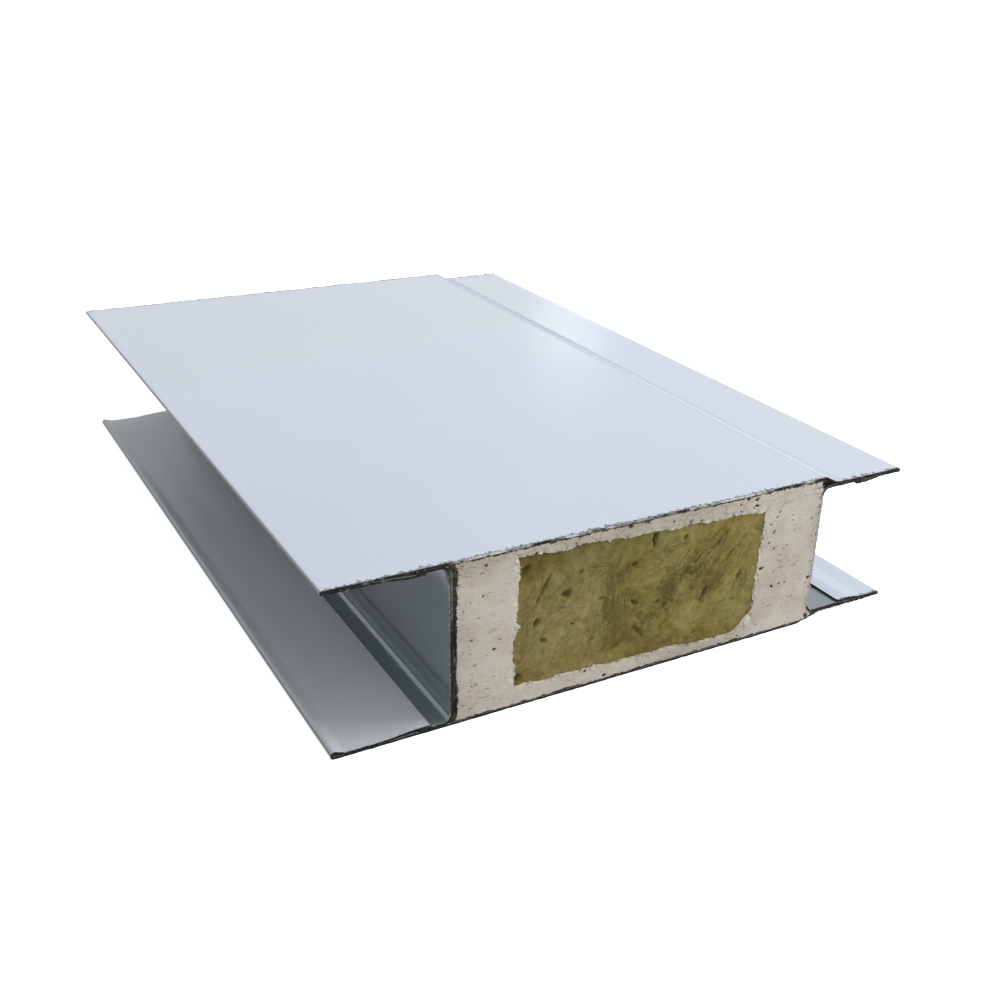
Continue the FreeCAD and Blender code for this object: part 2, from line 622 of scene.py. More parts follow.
@dataclass(frozen=True)
class CoatedSheet:
    """Coil-coated steel: white face paint, grey back coat, or the channels' dark coat."""

    name: str
    colour: Colour
    dust: Colour
    roughness: float = 0.3
    metallic: float = 0.0
    dirt: float = 0.5
    chipping: float = 0.9 * MM
    shine: float = 0.5
    scorch: float = 0.0
    # Painted shade tint for the folded leg in the recess under the top flange.
    shaded_leg_tint: Colour = (0.99, 0.955, 0.88)
    # Painted shade along the rounded free edges of the hems, in the colour named rubbed.
    rubbed: Colour = (0.10, 0.10, 0.095)
    primer: Colour = (0.03, 0.031, 0.033)
    zinc: Colour = (0.44, 0.455, 0.46)
    black: Colour = (0.018, 0.015, 0.011)

    def scorched(self, shading: Shading) -> Value:
        """Where the saw's heat blackened the coat, at the upper corners of the sawn ends.

        Args:
            shading: The material under construction.

        Returns:
            A mask of it.
        """
        high = shading.axis("Z").ramp(SIZES.thickness - 9 * MM, SIZES.thickness - 2 * MM)
        near = shading.end_inset().ramp(4.5 * MM, 0.0) * high
        ragged = (shading.noise(420.0, 4.0, 0.7) - 0.5) * 0.9
        return (near + ragged).ramp(0.22, 0.5) * self.scorch

    def material(self) -> Material:
        """Makes the finish.

        Returns:
            The material.
        """
        shading = Shading(self.name, self.colour)
        fold, inner, rim = (shading.mask(name) for name in ("fold", "inner", "rim"))
        shading.coat(shading.noise(9.0).ramp(0.3, 0.7), shade(self.colour, 0.975))
        film = shading.noise(240.0, 5.0, 0.7).ramp(0.52, 0.75, 0.0, 0.12 * self.dirt)
        shading.coat(film, self.dust)
        # Painted shade along the joggle's crease, where the fold mask lies.
        shading.coat(fold * 0.55, shade(self.colour, 0.6))
        # Painted shade: the female leg's upper side in the recess is tinted warmer and less blue, as
        # the light there would be.
        shading.coat(inner, shading.mix(1.0, shading.tone, self.shaded_leg_tint, "MULTIPLY"))
        # Painted shade along the hems' rounded free edges, where the rim mask lies.
        shading.coat(rim * 0.8, self.rubbed)
        grit = shading.specks(900.0, 0.012, 0.9)
        shading.coat(grit * (0.5 * self.dirt), shade(self.dust, 0.5))
        bare = shading.group(chipped_end_group(), Reach=self.chipping)["Mask"] * (1.0 - inner * 0.85)
        bright = shading.noise(1500.0, 3.0, 0.7).ramp(0.42, 0.56)
        shading.coat(bare, shading.mix(bright, self.primer, self.zinc))
        shading.coat(self.scorched(shading), self.black)
        coat = shading.group(coil_coat_group(), Peel=1.0, Roughness=self.roughness)
        worn = (bare | fold | rim) * 0.35 | inner * 0.2
        normal = shading.bump(1.0 - bare, 0.08 * MM, 0.8, coat["Normal"])
        return shading.finish(Roughness=coat["Roughness"] + worn, Normal=normal,
                              Metallic=self.metallic, Specular_IOR_Level=self.shine)


@dataclass(frozen=True)
class SawnSteel:
    """The torn, sooty edge that a saw leaves on thin sheet, with bright zinc where it rubbed."""

    name: str
    soot: Colour = (0.012, 0.012, 0.011)
    steel: Colour = (0.16, 0.17, 0.18)
    dust: Colour = (0.20, 0.21, 0.215)
    dusty: float = 0.08
    smear: float = 1.0
    zinc: Colour = (0.62, 0.63, 0.62)

    def material(self) -> Material:
        """Makes the finish.

        Returns:
            The material.
        """
        shading = Shading(self.name, self.soot)
        shading.coat(shading.noise(420.0, 4.0, 0.65).ramp(0.54, 0.74), self.steel)
        over_core = abs(shading.axis("X")).ramp(62 * MM, 58 * MM)
        over_core *= shading.axis("Z").ramp(30 * MM, 35 * MM)
        rubbed = shading.noise(48.0, 3.0, 0.6, stretch=(1.0, 0.0, 0.0)).ramp(0.42, 0.56) * over_core
        scuffs = shading.noise(900.0, 4.0, 0.7).ramp(0.36, 0.5)
        shading.coat(rubbed * scuffs, self.zinc)
        start = 0.62 - 0.36 * self.dusty
        cover = shading.noise(480.0, 4.0, 0.7).ramp(start, start + 0.07)
        height = abs(shading.axis("Z") - HALF_THICKNESS)
        shading.coat(cover * height.ramp(self.smear, self.smear - 1.5 * MM), self.dust)
        return shading.finish(Normal=shading.bump(shading.noise(2600.0), 0.15 * MM, 0.8), Metallic=0.1,
                              Roughness=0.8, Specular_IOR_Level=0.2)


@dataclass(frozen=True)
class CastCement:
    """Foamed magnesium cement on a sawn end: cream, dusty, pitted, charred beside the steel, with
    painted shade in its pores.
    """

    name: str = "foamed_cement"
    colour: Colour = (0.44, 0.40, 0.33)
    pale: Colour = (0.59, 0.555, 0.485)
    char: Colour = (0.016, 0.013, 0.009)
    scorch: Colour = (0.105, 0.085, 0.058)
    hole: Colour = (0.075, 0.062, 0.042)
    pore: Colour = (0.13, 0.11, 0.08)
    torn: Colour = (0.16, 0.135, 0.085)
    lip: Colour = (0.76, 0.71, 0.57)
    crack: Colour = (0.17, 0.14, 0.10)
    dot: Colour = (0.09, 0.08, 0.04)

    def charred(self, shading: Shading) -> Value:
        """Where the saw's heat charred the pour beside the female channel, with its hair strokes.

        Args:
            shading: The material under construction.

        Returns:
            A mask of it.
        """
        corner = shading.mask("corner")
        hairs = shading.noise(1500.0, 3.0, 0.7, 0.8, stretch=(0.28, 1.0, 1.0)).ramp(0.5, 0.72)
        band = shading.noise(260.0, 3.0, 0.6).ramp(0.35, 0.65, 0.85, 1.3)
        reach = hairs * (corner * 2.6 + 0.55) + band + corner * 0.8
        return (reach - shading.mask("steel_gap")).ramp(-0.1, 0.12)

    def cracked(self, shading: Shading) -> Value:
        """Fine crazing, in patches and under the top sheet.

        Args:
            shading: The material under construction.

        Returns:
            A mask of it.
        """
        stretched = shading.vector("MULTIPLY", shading.place, (0.6, 1.0, 1.5))
        wandering = shading.pushed(stretched, 420.0, 3.0, 0.004)
        lines = shading.add("TexVoronoi", {"Vector": wandering, "Scale": 300.0},
                            feature="DISTANCE_TO_EDGE")["Distance"].ramp(0.045, 0.012)
        patches = shading.noise(110.0).ramp(0.50, 0.62)
        return lines * (patches | shading.axis("Z").ramp(43.5 * MM, 46 * MM)) * 0.5

    def material(self) -> Material:
        """Makes the finish.

        Returns:
            The material.
        """
        shading = Shading(self.name, self.colour)
        noise_at, mask = shading.noise, shading.mask
        shading.coat(noise_at(38.0, 5.0, 0.6, stretch=(0.7, 1.0, 1.0)).ramp(0.35, 0.66), self.pale)
        streaky = noise_at(260.0, 4.0, 0.65, 0.6, stretch=(0.3, 1.0, 1.2))
        shading.coat(streaky.ramp(0.55, 0.72, 0.0, 0.45), self.pale)
        grain = noise_at(900.0, 3.0, 0.7).ramp(0.3, 0.7, 0.95, 1.03)
        shading.coat(1.0, shading.add("CombineColor", {0: grain, 1: grain, 2: grain})[0], "MULTIPLY")
        pores = shading.specks(900.0, 0.038, 1.7)
        grit = shading.specks(2100.0, 0.06, 1.4)
        flakes = shading.specks(520.0, 0.05, 2.2)
        holes = pores * 0.8 | grit * 0.45
        shading.coat(flakes * 0.3, self.pale)
        # Pores, grit holes and pits are painted dark: painted shade inside them.
        shading.coat(holes, self.pore)
        shading.coat(mask("pit").ramp(0.2, 0.55), self.hole)
        rim = mask("wool_gap")
        # A dark ragged band at the cavity's edge: partly torn flakes, partly painted shade where the
        # pour meets the wool.
        ragged = noise_at(700.0, 4.0, 0.7).ramp(0.54, 0.74, 0.0, 1.2)
        shading.coat((ragged - rim).ramp(-0.1, 0.3) * 0.5, self.torn)
        # Pale flakes on the cavity's edge: partly pale cement, partly a painted highlight on its lip.
        burst = noise_at(330.0, 3.0, 0.6).ramp(0.48, 0.66, 0.0, 0.8)
        shading.coat((burst - rim).ramp(-0.1, 0.15) * 0.45, self.lip)
        shading.coat(self.cracked(shading), self.crack)
        dots = noise_at(1100.0, 3.0, 0.6).ramp(0.55, 0.66, 0.0, 2.0)
        shading.coat((dots - mask("male_gap")).ramp(-0.1, 0.3) * 0.75, self.dot)
        # A dark line along both sheets: partly painted shadow under the sheets' sawn edges, partly
        # soot.
        line = noise_at(700.0, 3.0, 0.7, stretch=(0.6, 1.0, 0.6)).ramp(0.3, 0.7, 0.35, 1.05)
        line = (line - mask("sheet_gap")).ramp(-0.05, 0.12) * 0.95
        patchy = noise_at(520.0, 4.0, 0.7, stretch=(1.0, 1.0, 0.6)).ramp(0.44, 0.66)
        # The soot mask blackens the pour in the joggles beyond the male web.
        shading.coat(self.charred(shading) | mask("soot") | line,
                     shading.mix(patchy, self.char, self.scorch))
        normal = shading.bump(noise_at(1200.0, 4.0, 0.65), 0.13 * MM, 0.6)
        normal = shading.bump(1.0 - holes, 0.3 * MM, 0.8, normal)
        normal = shading.bump(flakes, 0.15 * MM, 0.6, normal)
        return shading.finish(Normal=normal, Roughness=0.92, Specular_IOR_Level=0.2)


@dataclass(frozen=True)
class RockWool:
    """Bonded mineral fibre: olive brown, streaked along its fibres, with painted shade in its hollows.
    """

    name: str = "rock_wool"
    base: Colour = (0.228, 0.176, 0.050)
    light: Colour = (0.355, 0.295, 0.108)
    dark: Colour = (0.080, 0.056, 0.015)
    green: Colour = (0.180, 0.164, 0.048)
    brown: Colour = (0.150, 0.098, 0.028)
    smooth: Colour = (0.275, 0.238, 0.118)
    grain: float = 38.0

    def material(self) -> Material:
        """Makes the finish.

        Returns:
            The material.
        """
        shading = Shading(self.name, self.base)
        flow = shading.pushed(shading.place, 48.0, 2.0, 0.03)
        turned = shading.add("VectorRotate", {"Vector": flow, "Angle": math.radians(self.grain)},
                             rotation_type="Y_AXIS")[0]
        streaks = shading.noise(330.0, 5.0, 0.65, 0.5, (0.35, 0.5, 1.8), turned)
        fine = shading.noise(800.0, 4.0, 0.7, 0.7, (0.3, 0.5, 3.2), turned)
        clouds = shading.noise(42.0, 3.0, 0.55, at=flow)
        mottle = shading.noise(360.0, 5.0, 0.7, 0.3, at=flow)
        patches = shading.noise(85.0, 4.0, 0.6, 0.6, at=flow)
        rust = shading.noise(130.0, 4.0, 0.65, 0.4, at=flow)
        shading.coat(patches.ramp(0.40, 0.62), self.green)
        shading.coat(rust.ramp(0.49, 0.64, 0.0, 0.8), self.brown)
        shading.coat(shading.axis("Z", flow).ramp(40 * MM, 46 * MM) * 0.6, self.green)
        female = shading.axis("X", flow).ramp(8 * MM, -32 * MM)
        shading.coat(female * shading.noise(60.0, at=flow).ramp(0.36, 0.58) * 0.5, self.smooth)
        for pattern, low, high, cover, colour in (
            (clouds, 0.50, 0.64, 0.42, self.light), (clouds, 0.48, 0.36, 0.55, self.dark),
            (mottle, 0.50, 0.70, 0.27, self.light), (mottle, 0.48, 0.30, 0.38, self.dark),
            (streaks, 0.50, 0.70, 0.16, self.light), (streaks, 0.46, 0.32, 0.16, self.dark),
            (fine, 0.54, 0.72, 0.13, self.light),
        ):
            shading.coat(pattern.ramp(low, high, 0.0, cover), colour)
        shading.coat(shading.specks(650.0, 0.05, 2.0) * 0.45, self.dark)
        # Painted shade in the tears' hollows.
        shading.coat(shading.mask("hollow") * 0.8, self.dark)
        normal = shading.bump(streaks + fine * 0.5, 0.22 * MM, 0.5)
        return shading.finish(Normal=normal, Roughness=0.95, Specular_IOR_Level=0.15)


@dataclass(frozen=True)
class LooseFibre:
    """Single strands of the wool, catching more light than the mat behind them."""

    name: str
    colour: Colour

    def material(self) -> Material:
        """Makes the finish.

        Returns:
            The material.
        """
        shading = Shading(self.name, self.colour)
        shading.coat(shading.noise(120.0).ramp(0.35, 0.65), shade(self.colour, 0.45))
        return shading.finish(Roughness=0.8, Specular_IOR_Level=0.25)


# ---------------------------------------------------------------------------------------------------
# Folded steel


def crosswise(edge: bmesh.types.BMEdge) -> bool:
    """Whether an edge runs along the section and not along the panel."""
    return abs(edge.verts[0].co.y - edge.verts[1].co.y) < 0.001 * MM


@dataclass
class FoldedSheet:
    """One folded steel section: an edge as long as the panel, extruded and spun along its section.

    The heading is in degrees, 0 along +X and 90 along +Z, and positive turns go to its left.  With
    upside_down the whole section is mirrored about the panel's mid-height.
    """

    name: str
    x: float
    z: float
    heading: float
    sheet: float
    upside_down: bool = False
    column: float = 0.42 * MM
    burr: float = 0.28 * MM
    burr_depth: float = 0.85 * MM
    burr_width: float = 0.95 * MM
    lump_width: float = 7.0 * MM
    lower_burr: float = 0.6
    leg_burr: float = 0.3
    highest_burr: float = 0.25 * MM
    seed: float = 0.0
    rows: tuple[float, ...] = (0.25, 0.55, 0.9, 1.5, 4.0, 12.0, 40.0, 90.0)
    hand: int = field(init=False)
    piece: Piece = field(init=False)

    def __post_init__(self) -> None:
        """Starts with one edge along the panel, cut from a plane."""
        self.hand = -1 if self.upside_down else 1
        if self.upside_down:
            self.z = SIZES.thickness - self.z
            self.heading = -self.heading
        self.piece = primitive(self.name, bpy.ops.mesh.primitive_plane_add, size=SIZES.length)
        select_only(self.piece)
        bpy.ops.object.mode_set(mode="EDIT")
        pick(self.piece, "verts", lambda vertex: vertex.co.x > 0)
        bpy.ops.mesh.delete(type="VERT")
        select_whole()
        bpy.ops.transform.translate(value=(self.x + HALF_LENGTH, 0, self.z))

    def direction(self) -> Vector:
        """Unit vector along the heading."""
        angle = math.radians(self.heading)
        return Vector((math.cos(angle), 0, math.sin(angle)))

    def run(self, length: float) -> None:
        """Extrudes the last edge straight on by a length.

        Args:
            length: How far.
        """
        step = self.direction() * length
        bpy.ops.mesh.extrude_region_move(TRANSFORM_OT_translate={"value": tuple(step)})
        self.x += step.x
        self.z += step.z

    def run_to_x(self, x: float) -> None:
        """Extrudes the last edge along X to a place."""
        self.run(abs(x - self.x))

    def bend(self, turn: float, inside: float) -> None:
        """Spins the last edge through a turn.

        Args:
            turn: Degrees, positive to the left of the heading.
            inside: Inside radius of the bend.
        """
        turn *= self.hand
        heading = self.direction()
        normal = Vector((-heading.z, 0, heading.x)) * math.copysign(1, turn)
        here = Vector((self.x, 0, self.z))
        centre = here + normal * (inside + self.sheet / 2)
        steps = max(4, math.ceil(abs(turn) / 10))
        bpy.ops.mesh.spin(steps=steps, angle=math.radians(turn), center=centre, axis=(0, 1, 0))
        spoke = Matrix.Rotation(-math.radians(turn), 3, "Y") @ (here - centre)
        self.x, self.z = (centre + spoke).x, (centre + spoke).z
        self.heading += turn

    def step(self, rise: float, length: float, inside: float) -> None:
        """Joggles the sheet sideways with two equal bends and a slope.

        Args:
            rise: How far it shifts, positive to the left.
            length: Length along the heading that the shift takes.
            inside: Inside radius of the bends.
        """
        height = abs(rise)
        largest = (length**2 + height**2) / (4 * height)
        radius = min(inside + self.sheet / 2, 0.98 * largest)
        span = math.hypot(length, 2 * radius - height)
        angle = math.asin(2 * radius / span) - math.atan2(2 * radius - height, length)
        turn = math.copysign(math.degrees(angle), rise)
        self.bend(turn, radius - self.sheet / 2)
        self.run(math.sqrt(span**2 - 4 * radius**2))
        self.bend(-turn, radius - self.sheet / 2)

    def finish(self, outside: Vector, materials: list[Material]) -> Piece:
        """Divides the sheet, gives it its gauge and tears its sawn ends.

        Args:
            outside: The way that the face side of the widest flat looks.
            materials: Face coat, back coat and cut edge.

        Returns:
            The finished sheet.
        """
        edges = bmesh.from_edit_mesh(self.piece.data).edges
        for length in sorted({round(edge.calc_length(), 7) for edge in edges if crosswise(edge)}):
            cuts = int(length / self.column) - 1
            if cuts > 0:
                pick(self.piece, "edges",
                     lambda edge: crosswise(edge) and abs(edge.calc_length() - length) < 0.0002 * MM)
                bpy.ops.mesh.subdivide(number_cuts=cuts)
        for inset in self.rows:
            for end in End:
                select_whole()
                place = end.value * (HALF_LENGTH - inset * MM)
                bpy.ops.mesh.bisect(plane_co=(0, place, 0), plane_no=(0, 1, 0))
        select_whole()
        bpy.ops.mesh.remove_doubles(threshold=0.01 * MM)
        bpy.ops.mesh.normals_make_consistent(inside=False)
        faces = bmesh.from_edit_mesh(self.piece.data).faces
        if sum(face.normal.dot(outside) * face.calc_area() for face in faces) < 0:
            bpy.ops.mesh.flip_normals()
        bpy.ops.object.mode_set(mode="OBJECT")
        dress(self.piece, *materials)
        select_only(self.piece)
        gauge = self.piece.modifiers.new("gauge", "SOLIDIFY")
        gauge.thickness, gauge.offset, gauge.use_even_offset = self.sheet, 0.0, True
        gauge.material_offset, gauge.material_offset_rim = 1, 2
        bpy.ops.object.modifier_apply(modifier=gauge.name)
        self.tear_ends()
        return self.piece

    def tear_ends(self) -> None:
        """Roughens the sawn ends, and hangs a burr on the side where the saw came out."""
        spread = {}
        for face in self.piece.data.polygons:
            if face.material_index < 2:
                for number in face.vertices:
                    spread[number] = spread.get(number, Vector()) + face.normal
        places = coordinates(self.piece)
        legs = (SIZES.sheet + 0.1 * MM, SIZES.thickness - SIZES.sheet - 0.1 * MM)
        for number, normal in spread.items():
            x, y, z = places[number]
            inset = HALF_LENGTH - abs(y)
            if inset > self.burr_depth or normal.length < 1e-6:
                continue
            share = 1.0 - inset / self.burr_depth
            outward = normal.normalized()
            teeth = ripple(x, self.seed + y, z, self.burr_width, 2)
            lumps = ripple(x, self.seed - y, z, self.lump_width, 2)
            reach = self.burr * max(0.0, 0.9 * teeth + 0.2 * lumps) * share
            if outward.z < -0.3 or outward.x * outward.z < 0:
                reach *= self.lower_burr
            if x < SIZES.female_web and legs[0] < z < legs[1]:
                reach *= self.leg_burr
            places[number] += np.array(outward) * reach
            places[number][1] += math.copysign(share, y) * MM * (0.20 * teeth - 0.08 * abs(lumps))
            places[number][2] = np.clip(places[number][2], 0, SIZES.thickness + self.highest_burr)
        move_vertices(self.piece, places)


@dataclass(frozen=True)
class Facing:
    """A facing with its hems and folded-back legs, its flat and the joggle of its male edge."""

    node: str
    joggle_setback: float
    joggle_run: float
    top: bool
    closing: float = 20.0
    neck_bend: float = 3.0 * MM
    hem_gap: float = 0.08 * MM
    climb_run: float = 12.0 * MM
    climb_bend: float = 30.0 * MM
    male_climb: float = 8.0 * MM
    male_climb_bend: float = 12.0 * MM
    joggle_bend: float = 1.5 * MM
    lip_clearance: float = 0.1 * MM
    lip_end_clearance: float = 0.3 * MM
    # Width of the painted shade along the hems' free edges.
    rim: float = 0.45 * MM
    # Width and margins of the painted shade along the joggle's crease.
    crease: float = 1.5 * MM
    crease_margins: tuple[float, float] = (1.3 * MM, 2.3 * MM)

    def open_hem(self, fold: FoldedSheet) -> None:
        """Folds an open, teardrop-shaped hem at the female edge.

        Args:
            fold: The sheet, headed for the edge.
        """
        closing = math.radians(self.closing)
        loop, neck = SIZES.hem_bend + SIZES.sheet / 2, self.neck_bend + SIZES.sheet / 2
        drop = loop * (1 + math.cos(closing)) - neck * (1 - math.cos(closing))
        slope = (drop - SIZES.sheet - self.hem_gap) / math.sin(closing)
        length = SIZES.sheet / 2 + loop + (loop + neck) * math.sin(closing) + slope * math.cos(closing)
        fold.run_to_x(SIZES.female_edge + length)
        fold.bend(-self.closing, self.neck_bend)
        fold.run(slope)
        fold.bend(180 + self.closing, SIZES.hem_bend)

    def build(self, materials: list[Material]) -> Piece:
        """Folds the facing from the female leg round to the male leg.

        Args:
            materials: Face coat, back coat and cut edge.

        Returns:
            The facing.
        """
        sheet = SIZES.sheet
        tight = self.hem_gap / 2
        over = sheet + SIZES.channel_sheet + self.lip_clearance
        climb = over - sheet - self.hem_gap
        leg_end = SIZES.female_edge + SIZES.female_leg
        fold = FoldedSheet(self.node + "_sheet", leg_end, sheet / 2 + over, 180, sheet, self.top,
                           seed=0.3 if self.top else 0.7)
        fold.run_to_x(SIZES.female_lip - self.lip_end_clearance)
        fold.step(climb, self.climb_run, self.climb_bend)
        if self.top:
            fold.run_to_x(SIZES.female_edge + sheet + tight)
            fold.bend(180, tight)
        else:
            self.open_hem(fold)
        fold.run_to_x(SIZES.male_web - self.joggle_setback)
        fold.step(SIZES.joggle, self.joggle_run, self.joggle_bend)
        fold.run_to_x(SIZES.male_edge - sheet - tight)
        fold.bend(180, tight)
        fold.run_to_x(SIZES.male_lip + self.lip_end_clearance + self.male_climb)
        fold.step(-climb, self.male_climb, self.male_climb_bend)
        fold.run_to_x(SIZES.male_edge - SIZES.male_leg)
        piece = fold.finish(Vector((0, 0, 1 if self.top else -1)), materials)
        x, y, z = coordinates(piece).T
        # The fold mask is painted shade: a soft grey band along the joggle's crease, stronger towards
        # the back end.
        across = x - SIZES.male_web + self.joggle_setback
        before, after = self.crease_margins
        margin = np.minimum(across + before, self.joggle_run + after - across) / self.crease
        fade = np.clip(1.7 * (y / SIZES.length + 0.47), 0.4, 1)
        height = SIZES.thickness - z if self.top else z
        # The inner mask marks the female leg's upper side, in the recess, for a painted shade tint.
        inner = (height > 1.1 * sheet) & (x < leg_end + 0.5 * MM)
        store_mask(piece, "fold", np.clip(margin, 0, 1) * fade)
        # The rim mask marks the free edges of the hems for painted shade.
        store_mask(piece, "rim", np.clip((np.abs(x) - SIZES.male_edge) / self.rim + 1, 0, 1))
        store_mask(piece, "inner", inner)
        seat(piece, self.node, 35)
        return piece


@dataclass(frozen=True)
class EdgeChannel:
    """A steel channel that closes one long edge, with its lips turned away from the core."""

    node: str
    web: float
    lip_end: float
    depth: float

    def build(self, materials: list[Material]) -> Piece:
        """Folds the channel from its lower lip up over its web to its upper lip.

        Args:
            materials: Face coat, back coat and cut edge.

        Returns:
            The channel.
        """
        outward = math.copysign(1, self.lip_end - self.web)
        sheet, bend = SIZES.channel_sheet, SIZES.channel_bend
        low = self.depth + sheet / 2
        reach = bend + sheet / 2
        fold = FoldedSheet(self.node + "_sheet", self.lip_end, low, 90 + 90 * outward, sheet,
                           burr=0.12 * MM, seed=1.1)
        fold.run_to_x(self.web - outward * sheet / 2 + outward * reach)
        fold.bend(-90 * outward, bend)
        fold.run(SIZES.thickness - low - reach - fold.z)
        fold.bend(-90 * outward, bend)
        fold.run_to_x(self.lip_end)
        piece = fold.finish(Vector((outward, 0, 0)), materials)
        seat(piece, self.node, 35)
        return piece


# ---------------------------------------------------------------------------------------------------
# Core


@dataclass(frozen=True)
class Cavity:
    """The cavity in the pour that holds the batt, slightly askew and ragged where it was sawn."""

    face_cover: float = 4.4 * MM
    female_cover: float = 19.0 * MM
    male_cover: float = 22.0 * MM
    tilt: float = 1.9
    corner_fill: float = 6.5 * MM
    ragged: float = 0.75 * MM
    ragged_reach: float = 1.3 * MM
    ragged_cover: float = 3.2 * MM
    bite: float = 1.7
    bite_start: float = 0.31

    @property
    def half(self) -> Rows:
        """Half its width and half its height.

        Returns:
            The two lengths.
        """
        width = SIZES.core_width - 2 * SIZES.channel_sheet - self.female_cover - self.male_cover
        height = SIZES.thickness - 2 * (SIZES.sheet + self.face_cover)
        return np.array((width / 2, height / 2))

    @property
    def centre(self) -> Rows:
        """Its middle, across the panel and up."""
        left = SIZES.female_web + SIZES.channel_sheet + self.female_cover
        return np.array((left + self.half[0], HALF_THICKNESS))

    @property
    def turn(self) -> Rows:
        """The matrix that turns rows of (x, z) from its own axes to the panel's."""
        angle = math.radians(self.tilt)
        return np.array([[math.cos(angle), -math.sin(angle)], [math.sin(angle), math.cos(angle)]])

    def local(self, flat: Rows) -> Rows:
        """Rows of (x, z) from its centre, along its own axes."""
        return (flat - self.centre) @ self.turn.T

    def spot(self, side: float, level: float) -> Rows:
        """A place as (x, z), where side and level are -1 to 1 between its sides."""
        return self.centre + (side, level) * self.half @ self.turn

    def roughen(self, flat: Rows) -> Rows:
        """Shifts places near the cavity's edge, so that the edge is ragged and its corner filled.

        Args:
            flat: Places as rows of (x, z).

        Returns:
            The same places, shifted.
        """
        local = self.local(flat)
        beyond = np.abs(local) - self.half
        outside = np.linalg.norm(np.maximum(beyond, 0), axis=1)
        inside = np.minimum(np.max(beyond, axis=1), 0)
        fade = np.exp(-np.abs(outside + inside) / self.ragged_reach)
        shift = np.empty_like(flat)
        for axis, (wave, bite) in enumerate(((0.11, 0.31), (0.57, 0.77))):
            bites = ripples(flat, bite, 1.5 * MM, 3)
            bitten = np.copysign(np.maximum(0, np.abs(bites) - self.bite_start), bites)
            shift[:, axis] = ripples(flat, wave, 9 * MM, 5) + self.bite * bitten
        fade *= self.ragged * np.clip(1 - outside / self.ragged_cover, 0, 1)
        over = np.maximum(local[:, 0] - local[:, 1] - (self.half.sum() - self.corner_fill), 0)
        border = np.maximum(np.max(beyond, axis=1), 0)
        near = np.clip(1 - border / (self.face_cover - 0.9 * MM), 0, 1) ** 2
        pull = np.stack([-over, over], axis=1) * (0.5 * near)[:, None]
        return flat + shift * fade[:, None] + pull @ self.turn


CAVITY = Cavity()


def ruled_grid(name: str, columns: int, rows: int) -> tuple[Piece, Rows, Rows]:
    """A flat grid whose vertices know their column and row.

    Args:
        name: Name of the piece.
        columns: How many cells it has across.
        rows: How many cells it has up.

    Returns:
        The grid, and each vertex's column and row.
    """
    grid = bpy.ops.mesh.primitive_grid_add
    piece = primitive(name, grid, x_subdivisions=columns, y_subdivisions=rows, size=2)
    flat = coordinates(piece)
    column = np.rint((flat[:, 0] + 1) / 2 * columns).astype(int)
    row = np.rint((flat[:, 1] + 1) / 2 * rows).astype(int)
    return piece, column, row


def extrude_along(piece: Piece, flat: Rows) -> None:
    """Stands a grid at the front end and extrudes it along the panel.

    Args:
        piece: The grid.
        flat: Its vertices' places, as rows of (x, z).
    """
    move_vertices(piece, np.insert(flat, 1, -HALF_LENGTH, axis=1))
    with edit_mode(piece):
        select_whole()
        bpy.ops.mesh.extrude_region_move(TRANSFORM_OT_translate={"value": (0, SIZES.length, 0)})
        select_whole()
        bpy.ops.mesh.normals_make_consistent(inside=False)


def carve_ends(piece: Piece, relief: Callable[[Rows, End], tuple]) -> None:
    """Sinks both sawn ends by their relief, and stores what their material reads.

    Args:
        piece: The extruded piece.
        relief: Gives the depths of an end's places and their masks by name.
    """
    places = coordinates(piece)
    masks = {}
    for end in End:
        here = places[:, 1] * end.value > 0
        depth, found = relief(places[here][:, (0, 2)], end)
        places[here, 1] -= end.value * depth
        for name, values in found.items():
            masks.setdefault(name, np.zeros(len(places)))[here] = values
    move_vertices(piece, places)
    for name, values in masks.items():
        store_mask(piece, name, values)


